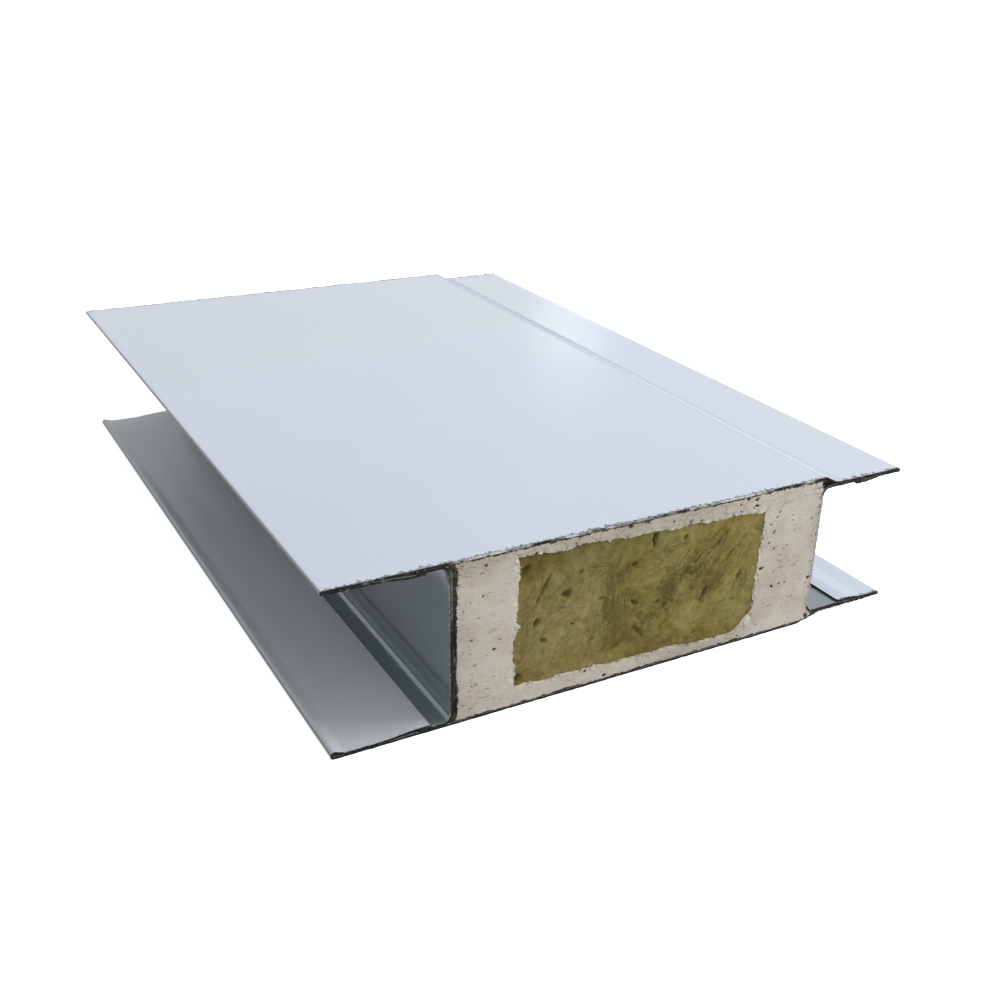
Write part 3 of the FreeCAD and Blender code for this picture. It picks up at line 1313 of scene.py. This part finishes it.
@dataclass(frozen=True)
class CastSurround:
    """The one-piece pour round the batt, pitted at its sawn ends and charred beside the steel."""

    cell: float = 0.275 * MM
    flare_tip: float = 0.25 * MM
    flare_shortfall: float = 1.1 * MM
    flare_starts: tuple[float, float] = (0.3 * MM, 3.6 * MM)
    joggle_run: float = 5.5 * MM
    pits: int = 95
    crowded: float = 0.35
    crowded_strip: float = 5.0 * MM
    chip_depth: float = 0.55 * MM
    pit_depth: float = 0.5 * MM
    soot_depth: float = 0.9 * MM

    @property
    def bend(self) -> float:
        """Outside radius of a channel's bend."""
        return SIZES.channel_bend + SIZES.channel_sheet

    def left(self, z: Rows) -> Rows:
        """Where the pour meets the female channel, at each height.

        Args:
            z: The heights.

        Returns:
            The places across the panel.
        """
        depth = np.minimum(z - SIZES.sheet, SIZES.thickness - SIZES.sheet - z)
        above = np.clip(self.bend - depth, 0, self.bend - self.flare_tip)
        web = SIZES.female_web + SIZES.channel_sheet
        return web - self.bend + np.sqrt(self.bend**2 - above**2)

    def right(self, z: Rows) -> Rows:
        """Where the pour meets the male channel and the joggles, at each height.

        Args:
            z: The heights.

        Returns:
            The places across the panel.
        """
        low = SIZES.sheet + SIZES.joggle
        depth = np.minimum(z - low, SIZES.thickness - low - z)
        above = np.clip(self.bend - depth, 0, self.bend)
        web = SIZES.male_web - SIZES.channel_sheet
        channel = web + self.bend - np.sqrt(self.bend**2 - above**2)
        end = SIZES.male_web + self.joggle_run - self.flare_shortfall
        start = SIZES.male_web - np.where(z > HALF_THICKNESS, *self.flare_starts)
        joggled = end + (start - end) * np.clip(-depth / SIZES.joggle, 0, 1)
        return np.where(depth > 0, channel, joggled)

    def layout(self, column: Rows, row: Rows, marks: tuple[int, ...]) -> Rows:
        """Spreads a grid over the pour's end, with grid lines on the cavity's four sides.

        Args:
            column: Each vertex's column.
            row: Each vertex's row.
            marks: Columns of the cavity's sides and the last column, then the same for rows.

        Returns:
            Places as rows of (x, z).
        """
        left, right, last_column, low, high, last_row = marks
        bottom, top = SIZES.sheet, SIZES.thickness - SIZES.sheet
        corners = {(side, level): CAVITY.spot(side, level) for side in (-1, 1) for level in (-1, 1)}

        def along(level: int) -> tuple[Rows, Rows]:
            """Places of the grid's columns on one side of the cavity.

            Args:
                level: -1 for the lower side and 1 for the upper.

            Returns:
                Their x and their z.
            """
            start, end = corners[(-1, level)], corners[(1, level)]
            knots = [0, left, right, last_column]
            across = [float(self.left(start[1])), start[0], end[0], float(self.right(end[1]))]
            up = [start[1], start[1], end[1], end[1]]
            return np.interp(column, knots, across), np.interp(column, knots, up)

        (low_x, low_z), (high_x, high_z) = along(-1), along(1)
        middle = np.clip((row - low) / (high - low), 0, 1)
        z = bottom + (low_z - bottom) * np.clip(row / low, 0, 1) + (high_z - low_z) * middle
        z += (top - high_z) * np.clip((row - high) / (last_row - high), 0, 1)
        hole = {side: corners[(side, -1)][0] + (corners[(side, 1)][0] - corners[(side, -1)][0]) * middle
                for side in (-1, 1)}
        female, male = self.left(z), self.right(z)
        share = (column - right) / (last_column - right)
        x = np.where(column < left, female + (hole[-1] - female) * column / left,
                     low_x + (high_x - low_x) * middle)
        return np.stack([np.where(column > right, hole[1] + (male - hole[1]) * share, x), z], axis=1)

    def pitted(self, flat: Rows, ragged: Rows, draw: random.Random) -> Rows:
        """Scatters pits over the pour, more of them under the top facing.

        Args:
            flat: Places as rows of (x, z).
            ragged: Noise there, that makes the pits ragged.
            draw: Where the random numbers come from.

        Returns:
            A mask of the pits.
        """
        pit = np.zeros(len(flat))
        low, high = SIZES.sheet, SIZES.thickness - SIZES.sheet
        for _ in range(self.pits):
            crowded = draw.random() < self.crowded
            while True:
                x = draw.uniform(SIZES.female_web, SIZES.male_web)
                spot = np.array((x, draw.uniform(low, high)))
                gap = np.max(np.abs(CAVITY.local(spot)) - CAVITY.half)
                if gap > 0.3 * MM and (spot[1] > high - self.crowded_strip or not crowded):
                    break
            long = (0.24 + 0.62 * draw.random() ** 3) * MM
            wide = long * draw.uniform(0.3, 0.75)
            away = oval(flat - spot, math.radians(draw.gauss(12, 28)), long, wide) + 0.6 * ragged
            pit = np.maximum(pit, np.clip(1.5 - 1.2 * away, 0, 1))
        return pit

    def relief(self, flat: Rows, end: End) -> tuple[Rows, dict[str, Rows]]:
        """Depth of one sawn end below its saw line, and what its material needs to know.

        Args:
            flat: Places as rows of (x, z).
            end: Which end.

        Returns:
            The depths, and masks and distances in millimetres for the material.
        """
        seed = 11 + end.value
        x, z = flat.T
        rim = np.maximum(np.max(np.abs(CAVITY.local(flat)) - CAVITY.half, axis=1), 0)
        waves = ripples(flat, seed, 9 * MM, 5)
        ragged = ripples(flat, seed + 3, 1.8 * MM, 4)
        chip = np.clip(np.exp(-rim / (0.7 * MM)) * (0.15 + 1.7 * ragged), 0, 1)
        pit = self.pitted(flat, ragged, random.Random(seed))
        steel_gap, male_gap = x - self.left(z), self.right(z) - x
        edge = np.minimum(z - SIZES.sheet, SIZES.thickness - SIZES.sheet - z)
        upper = z > HALF_THICKNESS
        corner = np.exp(-edge / np.where(upper, 6.5 * MM, 3.0 * MM))
        # The soot mask blackens the pour where it fills the joggles beyond the male channel's web, and
        # sinks it further there.
        flare = SIZES.male_web - SIZES.channel_sheet + np.where(upper, -0.1, 2.4) * MM
        soot = np.clip((x - flare) / (0.5 * MM) + 0.8 * ragged, 0, 1)
        charred = np.clip((1.1 * MM - steel_gap) / (0.5 * MM), 0, 1)
        depth = (0.10 + 0.07 * waves) * MM + chip * self.chip_depth + pit * self.pit_depth
        depth += charred * (0.30 + 0.25 * ragged) * MM + soot * self.soot_depth
        depth *= np.clip(male_gap / (1.6 * MM), 0.05, 1)
        notes = {"pit": pit, "sheet_gap": (edge + 0.15 * MM) / MM, "steel_gap": steel_gap / MM,
                 "male_gap": male_gap / MM, "wool_gap": rim / MM, "corner": corner, "soot": soot}
        return np.maximum(depth, 0), notes

    def build(self, material: Material) -> Piece:
        """Lays out the sawn end, extrudes it along the panel and cuts the relief of both ends.

        Args:
            material: The pour's finish.

        Returns:
            The surround.
        """
        wide, tall = (round(2 * half / self.cell) for half in CAVITY.half)
        left = round(CAVITY.female_cover / self.cell)
        right = left + wide
        last_column = right + round(CAVITY.male_cover / self.cell)
        low = round(CAVITY.face_cover / self.cell) + 2
        high = low + tall
        last_row = high + low
        piece, column, row = ruled_grid("cast_surround_pour", last_column, last_row)
        flat = CAVITY.roughen(self.layout(column, row, (left, right, last_column, low, high, last_row)))
        middle_x, middle_y = (left + right) / last_column - 1, (low + high) / last_row - 1
        kept = (column > left) & (column < right) & (row > low) & (row < high)
        with edit_mode(piece):
            pick(piece, "faces", lambda face:
                 abs(face.calc_center_median().x - middle_x) < wide / last_column
                 and abs(face.calc_center_median().y - middle_y) < tall / last_row)
            bpy.ops.mesh.delete(type="FACE")
        extrude_along(piece, flat[~kept])
        carve_ends(piece, self.relief)
        dress(piece, material)
        seat(piece, "cast_surround", 60)
        return piece


@dataclass(frozen=True)
class Tear:
    """A place where the saw tore the mat: where it is as shares of the mat, and its sizes in mm."""

    across: float
    up: float
    length: float
    width: float
    lean: float
    depth: float


@dataclass(frozen=True)
class Tuft:
    """A bundle of loose strands: where it is as shares of the mat, its spread and strands in mm."""

    across: float
    up: float
    lean: float
    fan: float
    length: float
    strands: int
    spread: float
    curl: float = 0.0


@dataclass(frozen=True)
class RockWoolBatt:
    """The batt: a fibrous mat, torn and hollowed at its sawn ends, with loose strands on them."""

    cell: float = 0.285 * MM
    recess: float = 0.75 * MM
    tufted: float = 0.42 * MM
    flow: tuple[float, float] = (0.79, 0.61)
    shallowest: float = 0.15 * MM
    deepest: float = 3.2 * MM
    strand_gauge: float = 0.085 * MM
    strand_points: int = 8
    strand_margin: tuple[float, float] = (1.2 * MM, 2.2 * MM)
    stray: int = 300
    tears: tuple[Tear, ...] = (
        Tear(0.53, 0.95, 2.2, 0.7, 86, 1.7), Tear(0.19, 0.66, 1.5, 1.1, 20, 1.1),
        Tear(0.10, 0.72, 4.2, 0.5, 62, 0.7), Tear(0.455, 0.77, 0.9, 0.6, 10, 0.9),
        Tear(0.465, 0.46, 1.3, 0.8, -25, 1.0), Tear(0.685, 0.61, 2.6, 1.5, 15, 1.1),
        Tear(0.60, 0.50, 7.0, 3.2, 70, 0.55), Tear(0.77, 0.40, 3.0, 0.6, 66, 0.9),
        Tear(0.49, 0.22, 2.6, 0.8, -52, 0.7), Tear(0.08, 0.47, 1.4, 1.0, 40, 1.0),
        Tear(0.11, 0.32, 1.2, 0.7, -30, 0.9), Tear(0.33, 0.55, 0.8, 0.5, 0, 0.6),
        Tear(0.30, 0.24, 0.9, 0.5, 30, 0.6), Tear(0.92, 0.50, 1.8, 0.7, 75, 0.8),
        Tear(0.87, 0.70, 4.2, 0.5, 44, 0.5), Tear(0.80, 0.80, 4.6, 0.5, 40, 0.5),
        Tear(0.73, 0.72, 3.2, 0.5, 46, 0.5), Tear(0.22, 0.40, 0.7, 0.5, 0, 0.6),
        Tear(0.03, 0.90, 1.6, 0.9, 60, 0.9), Tear(0.015, 0.06, 1.5, 1.2, 30, 1.2),
        Tear(0.66, 0.90, 1.0, 0.6, 60, 0.7), Tear(0.40, 0.12, 1.5, 0.5, 20, 0.5),
        Tear(0.545, 0.32, 3.6, 2.0, 50, 0.45), Tear(0.24, 0.80, 1.0, 0.5, 20, 0.5),
    )
    tufts: tuple[Tuft, ...] = (
        Tuft(0.17, 0.69, 27, 5, 13, 26, 1.3), Tuft(0.08, 0.74, 66, 9, 9, 22, 1.6, 3),
        Tuft(0.76, 0.70, 41, 8, 16, 60, 3.6, -4), Tuft(0.86, 0.78, 47, 8, 13, 50, 3.4, 3),
        Tuft(0.90, 0.62, 55, 10, 10, 30, 2.6), Tuft(0.67, 0.66, 25, 24, 8, 32, 2.0, 22),
        Tuft(0.71, 0.55, -20, 24, 7, 26, 1.6, 26), Tuft(0.79, 0.42, 64, 8, 10, 28, 1.6, 4),
        Tuft(0.52, 0.30, -52, 12, 9, 22, 2.2, 6), Tuft(0.47, 0.52, 76, 10, 8, 20, 1.4, -8),
        Tuft(0.36, 0.32, -58, 14, 9, 18, 2.6, 5), Tuft(0.94, 0.42, 78, 8, 9, 20, 1.6),
        Tuft(0.60, 0.86, 18, 12, 9, 22, 2.0, -6), Tuft(0.30, 0.80, 12, 14, 8, 20, 2.2),
        Tuft(0.06, 0.38, 80, 12, 7, 16, 1.6), Tuft(0.62, 0.40, 60, 10, 10, 20, 2.2, 8),
        Tuft(0.20, 0.15, 10, 14, 8, 14, 2.4), Tuft(0.55, 0.12, 22, 10, 9, 16, 2.0),
    )

    def placed(self, mark: Tear | Tuft, end: End) -> Rows:
        """Where a tear or a tuft is on a sawn end, as (x, z).  The back mirrors the front."""
        return CAVITY.spot(-end.value * (2 * mark.across - 1), 2 * mark.up - 1)

    def relief(self, flat: Rows, end: End) -> tuple[Rows, dict[str, Rows]]:
        """Depth of one sawn end below its saw line, and how hollow it is.

        Args:
            flat: Places as rows of (x, z).
            end: Which end.

        Returns:
            The depths, and a mask of the hollows by its name, for painted shade there.
        """
        seed = 21 + end.value
        warped = flat + 7 * MM * ripples(flat, seed, 24 * MM, 2)[:, None] * (1, -1)
        lumps = ripples(warped, seed + 4, 17 * MM, 3)
        x, z = warped.T
        grain = np.stack([(self.flow[0] * x + self.flow[1] * z) * 0.4,
                          self.flow[0] * z - self.flow[1] * x], axis=1)
        tufts = 0.5 * (ripples(grain, seed + 5, 3.0 * MM, 3) + ripples(flat, seed + 7, 2.4 * MM, 4))
        frayed = ripples(flat, seed + 6, 1.3 * MM, 4)
        depth = self.recess * (1 + 0.75 * lumps) + self.tufted * tufts
        # The hollow mask marks the tears for painted shade.
        hollow = np.zeros(len(flat))
        for tear in self.tears:
            lean = -end.value * math.radians(tear.lean)
            away = oval(flat - self.placed(tear, end), lean, tear.length * MM, tear.width * MM)
            inside = np.clip(1.35 - away - 0.55 * frayed, 0, 1)
            depth += inside * tear.depth * MM
            hollow = np.maximum(hollow, inside * min(1.0, tear.depth))
        return np.clip(depth, self.shallowest, self.deepest), {"hollow": np.clip(1.25 * hollow, 0, 1)}

    def build(self, mat: Material, fibres: list[Material]) -> None:
        """Makes the mat and its loose strands.

        Args:
            mat: The mat's finish.
            fibres: Finishes of the strands.
        """
        columns, rows = (round(2 * half / self.cell) for half in CAVITY.half)
        piece, column, row = ruled_grid("rock_wool_mat", columns, rows)
        across, up = (column / columns)[:, None], (row / rows)[:, None]
        low = CAVITY.spot(-1, -1) * (1 - across) + CAVITY.spot(1, -1) * across
        high = CAVITY.spot(-1, 1) * (1 - across) + CAVITY.spot(1, 1) * across
        extrude_along(piece, CAVITY.roughen(low * (1 - up) + high * up))
        carve_ends(piece, self.relief)
        dress(piece, mat)
        seat(piece, "rock_wool_batt", 180)
        for end in End:
            self.loose_strands(end, fibres)

    def path(self, middle: tuple[float, float], lean: float, length: float, curl: float,
             end: End) -> Rows:
        """The way that a loose strand lies on a sawn end.

        Args:
            middle: Its middle, as (x, z).
            lean: Its lean there, in radians.
            length: Its length.
            curl: How much it turns from point to point.
            end: Which end.

        Returns:
            Its points, as rows of (x, z).
        """
        count = self.strand_points
        x = middle[0] - math.cos(lean) * length / 2
        z = middle[1] - math.sin(lean) * length / 2
        lean -= curl * count / 2
        points = []
        for _ in range(count):
            points.append((x, z))
            lean += curl + 0.16 * ripple(x, 3.0 + end.value, z, 5 * MM, 1)
            x += math.cos(lean) * length / (count - 1)
            z += math.sin(lean) * length / (count - 1)
        return np.array(points)

    def scattered(self, draw: random.Random, end: End, fibres: int) -> list[tuple[Rows, int]]:
        """Draws the strands of one sawn end: the tufts first, then stray ones along the mat's flow.

        Args:
            draw: Where the random numbers come from.
            end: Which end.
            fibres: How many finishes there are.

        Returns:
            The points and the finish of each strand.
        """
        side = -end.value
        strands = []
        for tuft in self.tufts:
            middle = self.placed(tuft, end)
            for _ in range(tuft.strands):
                lean = math.radians(draw.gauss(tuft.lean, tuft.fan)) * side
                off = draw.gauss(0, tuft.spread) * MM
                slide = draw.gauss(0, 0.22 * tuft.length) * MM
                x = middle[0] - off * math.sin(lean) + slide * math.cos(lean)
                z = middle[1] + off * math.cos(lean) + slide * math.sin(lean)
                curl = math.radians(draw.gauss(tuft.curl, 3)) * side
                length = tuft.length * MM * draw.uniform(0.5, 1.1)
                strands.append((self.path((x, z), lean, length, curl, end), draw.randrange(fibres)))
        half = CAVITY.half - self.strand_margin
        for _ in range(self.stray):
            x, z = CAVITY.centre + half * (draw.uniform(-1, 1), draw.uniform(-1, 1))
            flow = 38 * side + 70 * ripple(x, end.value, z, 26 * MM, 2)
            lean = math.radians(flow + draw.gauss(0, 16))
            curl = math.radians(draw.gauss(0, 6))
            length = draw.uniform(2.5, 8.0) * MM
            strands.append((self.path((x, z), lean, length, curl, end), draw.randrange(1, fibres)))
        return strands

    def loose_strands(self, end: End, fibres: list[Material]) -> None:
        """Lays the loose strands over one sawn end.

        Args:
            end: Which end.
            fibres: Finishes of the strands.
        """
        draw = random.Random(40 + end.value)
        curve = bpy.data.curves.new(f"rock_wool_strands_{end.name.lower()}", "CURVE")
        curve.dimensions = "3D"
        curve.bevel_depth = self.strand_gauge
        curve.bevel_resolution = 0
        curve.use_fill_caps = True
        for material in fibres:
            curve.materials.append(material)
        last = self.strand_points - 1
        for flat, fibre in self.scattered(draw, end, len(fibres)):
            if (np.abs(flat - CAVITY.centre) > CAVITY.half - self.strand_margin).any():
                continue
            depth = self.relief(flat, end)[0]
            spline = curve.splines.new("POLY")
            spline.points.add(last)
            spline.material_index = fibre
            lift = draw.uniform(0.0, 0.10) * MM
            gauge = draw.uniform(0.6, 1.25)
            for number, point in enumerate(spline.points):
                arch = math.sin(math.pi * number / last)
                inset = max(0.05 * MM, depth[number] - lift * arch + 0.04 * MM)
                point.co = (flat[number][0], end.value * (HALF_LENGTH - inset), flat[number][1], 1)
                point.radius = gauge * (0.3 + 0.7 * arch)
        strands = bpy.data.objects.new(curve.name, curve)
        bpy.context.scene.collection.objects.link(strands)
        select_only(strands)
        bpy.ops.object.convert(target="MESH")
        seat(bpy.context.object, "rock_wool_batt", 180)


# ---------------------------------------------------------------------------------------------------
# Studio


@dataclass(frozen=True)
class Softbox:
    """A lamp that looks at the panel: its place, its width and height, and its watts."""

    name: str
    place: tuple[float, float, float]
    size: tuple[float, float]
    power: float
    colour: Colour = (1.0, 1.0, 1.0)
    mirrored: bool = True
    aim: tuple[float, float, float] = (0.0, 0.0, 0.03)

    def hang(self) -> None:
        """Hangs the lamp."""
        data = bpy.data.lights.new(self.name, "AREA")
        data.shape = "RECTANGLE"
        data.size, data.size_y = self.size
        data.energy = self.power
        data.color = self.colour
        lamp = bpy.data.objects.new(self.name, data)
        lamp.location = self.place
        aim = Vector(self.aim) - Vector(self.place)
        lamp.rotation_euler = aim.to_track_quat("-Z", "Y").to_euler()
        lamp.visible_camera = False
        lamp.visible_glossy = self.mirrored
        bpy.context.scene.collection.objects.link(lamp)


@dataclass(frozen=True)
class Studio:
    """Camera, lamps, the pale floor and the white surround."""

    camera_place: tuple[float, float, float] = (-0.17823, -0.38256, 0.18868)
    camera_right: tuple[float, float, float] = (0.8671, -0.49734, 0.02828)
    camera_up: tuple[float, float, float] = (0.21061, 0.41747, 0.88395)
    lens: float = 43.02
    shift: tuple[float, float] = (-0.045, 0.08)
    clip: tuple[float, float] = (0.01, 50.0)
    floor_size: float = 12.0
    floor_colour: Colour = (0.82, 0.82, 0.83)
    floor_glow: float = 0.74
    white: Colour = (1.0, 1.0, 1.0)
    ambient: float = 0.34
    lamps: tuple[Softbox, ...] = (
        Softbox("overhead_softbox", (0.3, 0.1, 1.7), (1.0, 1.0), 4.8),
        Softbox("key_softbox", (0.5, -1.15, 1.2), (2.6, 1.8), 10.6),
        Softbox("side_softbox", (1.2, -0.4, 0.6), (0.8, 0.8), 14.5, mirrored=False),
        Softbox("ceiling_tube", (0.834, 1.268, 0.459), (0.11, 0.05), 0.05, (0.92, 0.97, 1.0)),
    )

    def camera(self) -> None:
        """Makes the camera."""
        data = bpy.data.cameras.new("camera")
        data.sensor_width = 36.0
        data.lens = self.lens
        data.shift_x, data.shift_y = self.shift
        data.clip_start, data.clip_end = self.clip
        camera = bpy.data.objects.new("camera", data)
        right = Vector(self.camera_right).normalized()
        back = right.cross(Vector(self.camera_up)).normalized()
        turn = Matrix((right, back.cross(right), back)).transposed().to_4x4()
        camera.matrix_world = Matrix.Translation(self.camera_place) @ turn
        bpy.context.scene.collection.objects.link(camera)
        bpy.context.scene.camera = camera

    def floor(self) -> None:
        """Makes the floor, which looks white to the camera and keeps the panel's shadow."""
        floor = primitive("floor", bpy.ops.mesh.primitive_plane_add, size=self.floor_size)
        material = bpy.data.materials.new("pale_floor")
        material.use_nodes = True
        nodes = material.node_tree.nodes
        nodes.remove(nodes["Principled BSDF"])
        wiring = Wiring(material.node_tree)
        plain = wiring.add("BsdfDiffuse", {"Color": self.floor_colour})[0]
        glow = {"Color": self.white, "Strength": wiring.seen() * self.floor_glow}
        both = wiring.add("AddShader", {0: plain, 1: wiring.add("Emission", glow)[0]})[0]
        wiring.put(nodes["Material Output"], "Surface", both)
        dress(floor, material)

    def world(self) -> None:
        """Makes the surround, which looks white but lights the panel less."""
        world = bpy.data.worlds.new("surround")
        world.use_nodes = True
        wiring = Wiring(world.node_tree)
        back = world.node_tree.nodes["Background"]
        wiring.put(back, "Color", self.white)
        wiring.put(back, "Strength", wiring.seen().ramp(0.0, 1.0, self.ambient, 1.0))
        bpy.context.scene.world = world

    def build(self) -> None:
        """Sets up the whole studio."""
        self.camera()
        self.floor()
        self.world()
        for lamp in self.lamps:
            lamp.hang()
        bpy.context.scene.view_settings.view_transform = "Standard"
        LOG.info("studio ready")


PAINT = CoatedSheet("white_face_paint", (0.62, 0.68, 0.785), (0.5, 0.5, 0.5), 0.19, dirt=0.0,
                    chipping=1.7 * MM, shine=0.34)
BACK_COAT = CoatedSheet("grey_back_coat", (0.30, 0.31, 0.305), (0.34, 0.33, 0.30), 0.4, dirt=0.4,
                        chipping=2.5 * MM)
CHANNEL_COAT = CoatedSheet("channel_coat", (0.245, 0.288, 0.30), (0.3, 0.3, 0.28), 0.11, 0.35, dirt=0.3,
                           scorch=0.9)
SAWN_EDGE = SawnSteel("sawn_sheet_edge")
SOOTY_EDGE = SawnSteel("sooty_sheet_edge", (0.006, 0.006, 0.005), (0.03, 0.028, 0.025),
                       (0.03, 0.028, 0.025), 0.0)
CHARRED_EDGE = SawnSteel("charred_channel_edge", steel=(0.035, 0.03, 0.024), dust=(0.08, 0.068, 0.05),
                         dusty=0.15)
SMEARED_EDGE = SawnSteel("smeared_channel_edge", soot=(0.03, 0.025, 0.015), dust=(0.40, 0.37, 0.30),
                         dusty=0.8, smear=20 * MM)
FIBRES = (
    LooseFibre("pale_strand", (0.42, 0.36, 0.14)),
    LooseFibre("straw_strand", (0.33, 0.27, 0.09)),
    LooseFibre("olive_strand", (0.26, 0.21, 0.065)),
)


def main() -> None:
    """Builds all pieces in order."""
    logging.basicConfig(level=logging.INFO, format="%(name)s: %(message)s")
    paint, back_coat, channel_coat = (
        coat.material() for coat in (PAINT, BACK_COAT, CHANNEL_COAT)
    )
    facing_coats, channel_coats = [paint, back_coat], [channel_coat, back_coat]
    Facing("bottom_facing", 4.3 * MM, 10.0 * MM, False).build([*facing_coats, SOOTY_EDGE.material()])
    Facing("top_facing", 0.0, 5.5 * MM, True).build([*facing_coats, SAWN_EDGE.material()])
    EdgeChannel("female_edge_channel", SIZES.female_web, SIZES.female_lip, SIZES.sheet).build(
        [*channel_coats, CHARRED_EDGE.material()]
    )
    EdgeChannel("male_edge_channel", SIZES.male_web, SIZES.male_lip, SIZES.sheet + SIZES.joggle).build(
        [*channel_coats, SMEARED_EDGE.material()]
    )
    CastSurround().build(CastCement().material())
    RockWoolBatt().build(RockWool().material(), [fibre.material() for fibre in FIBRES])
    Studio().build()


if __name__ == "__main__":
    main()
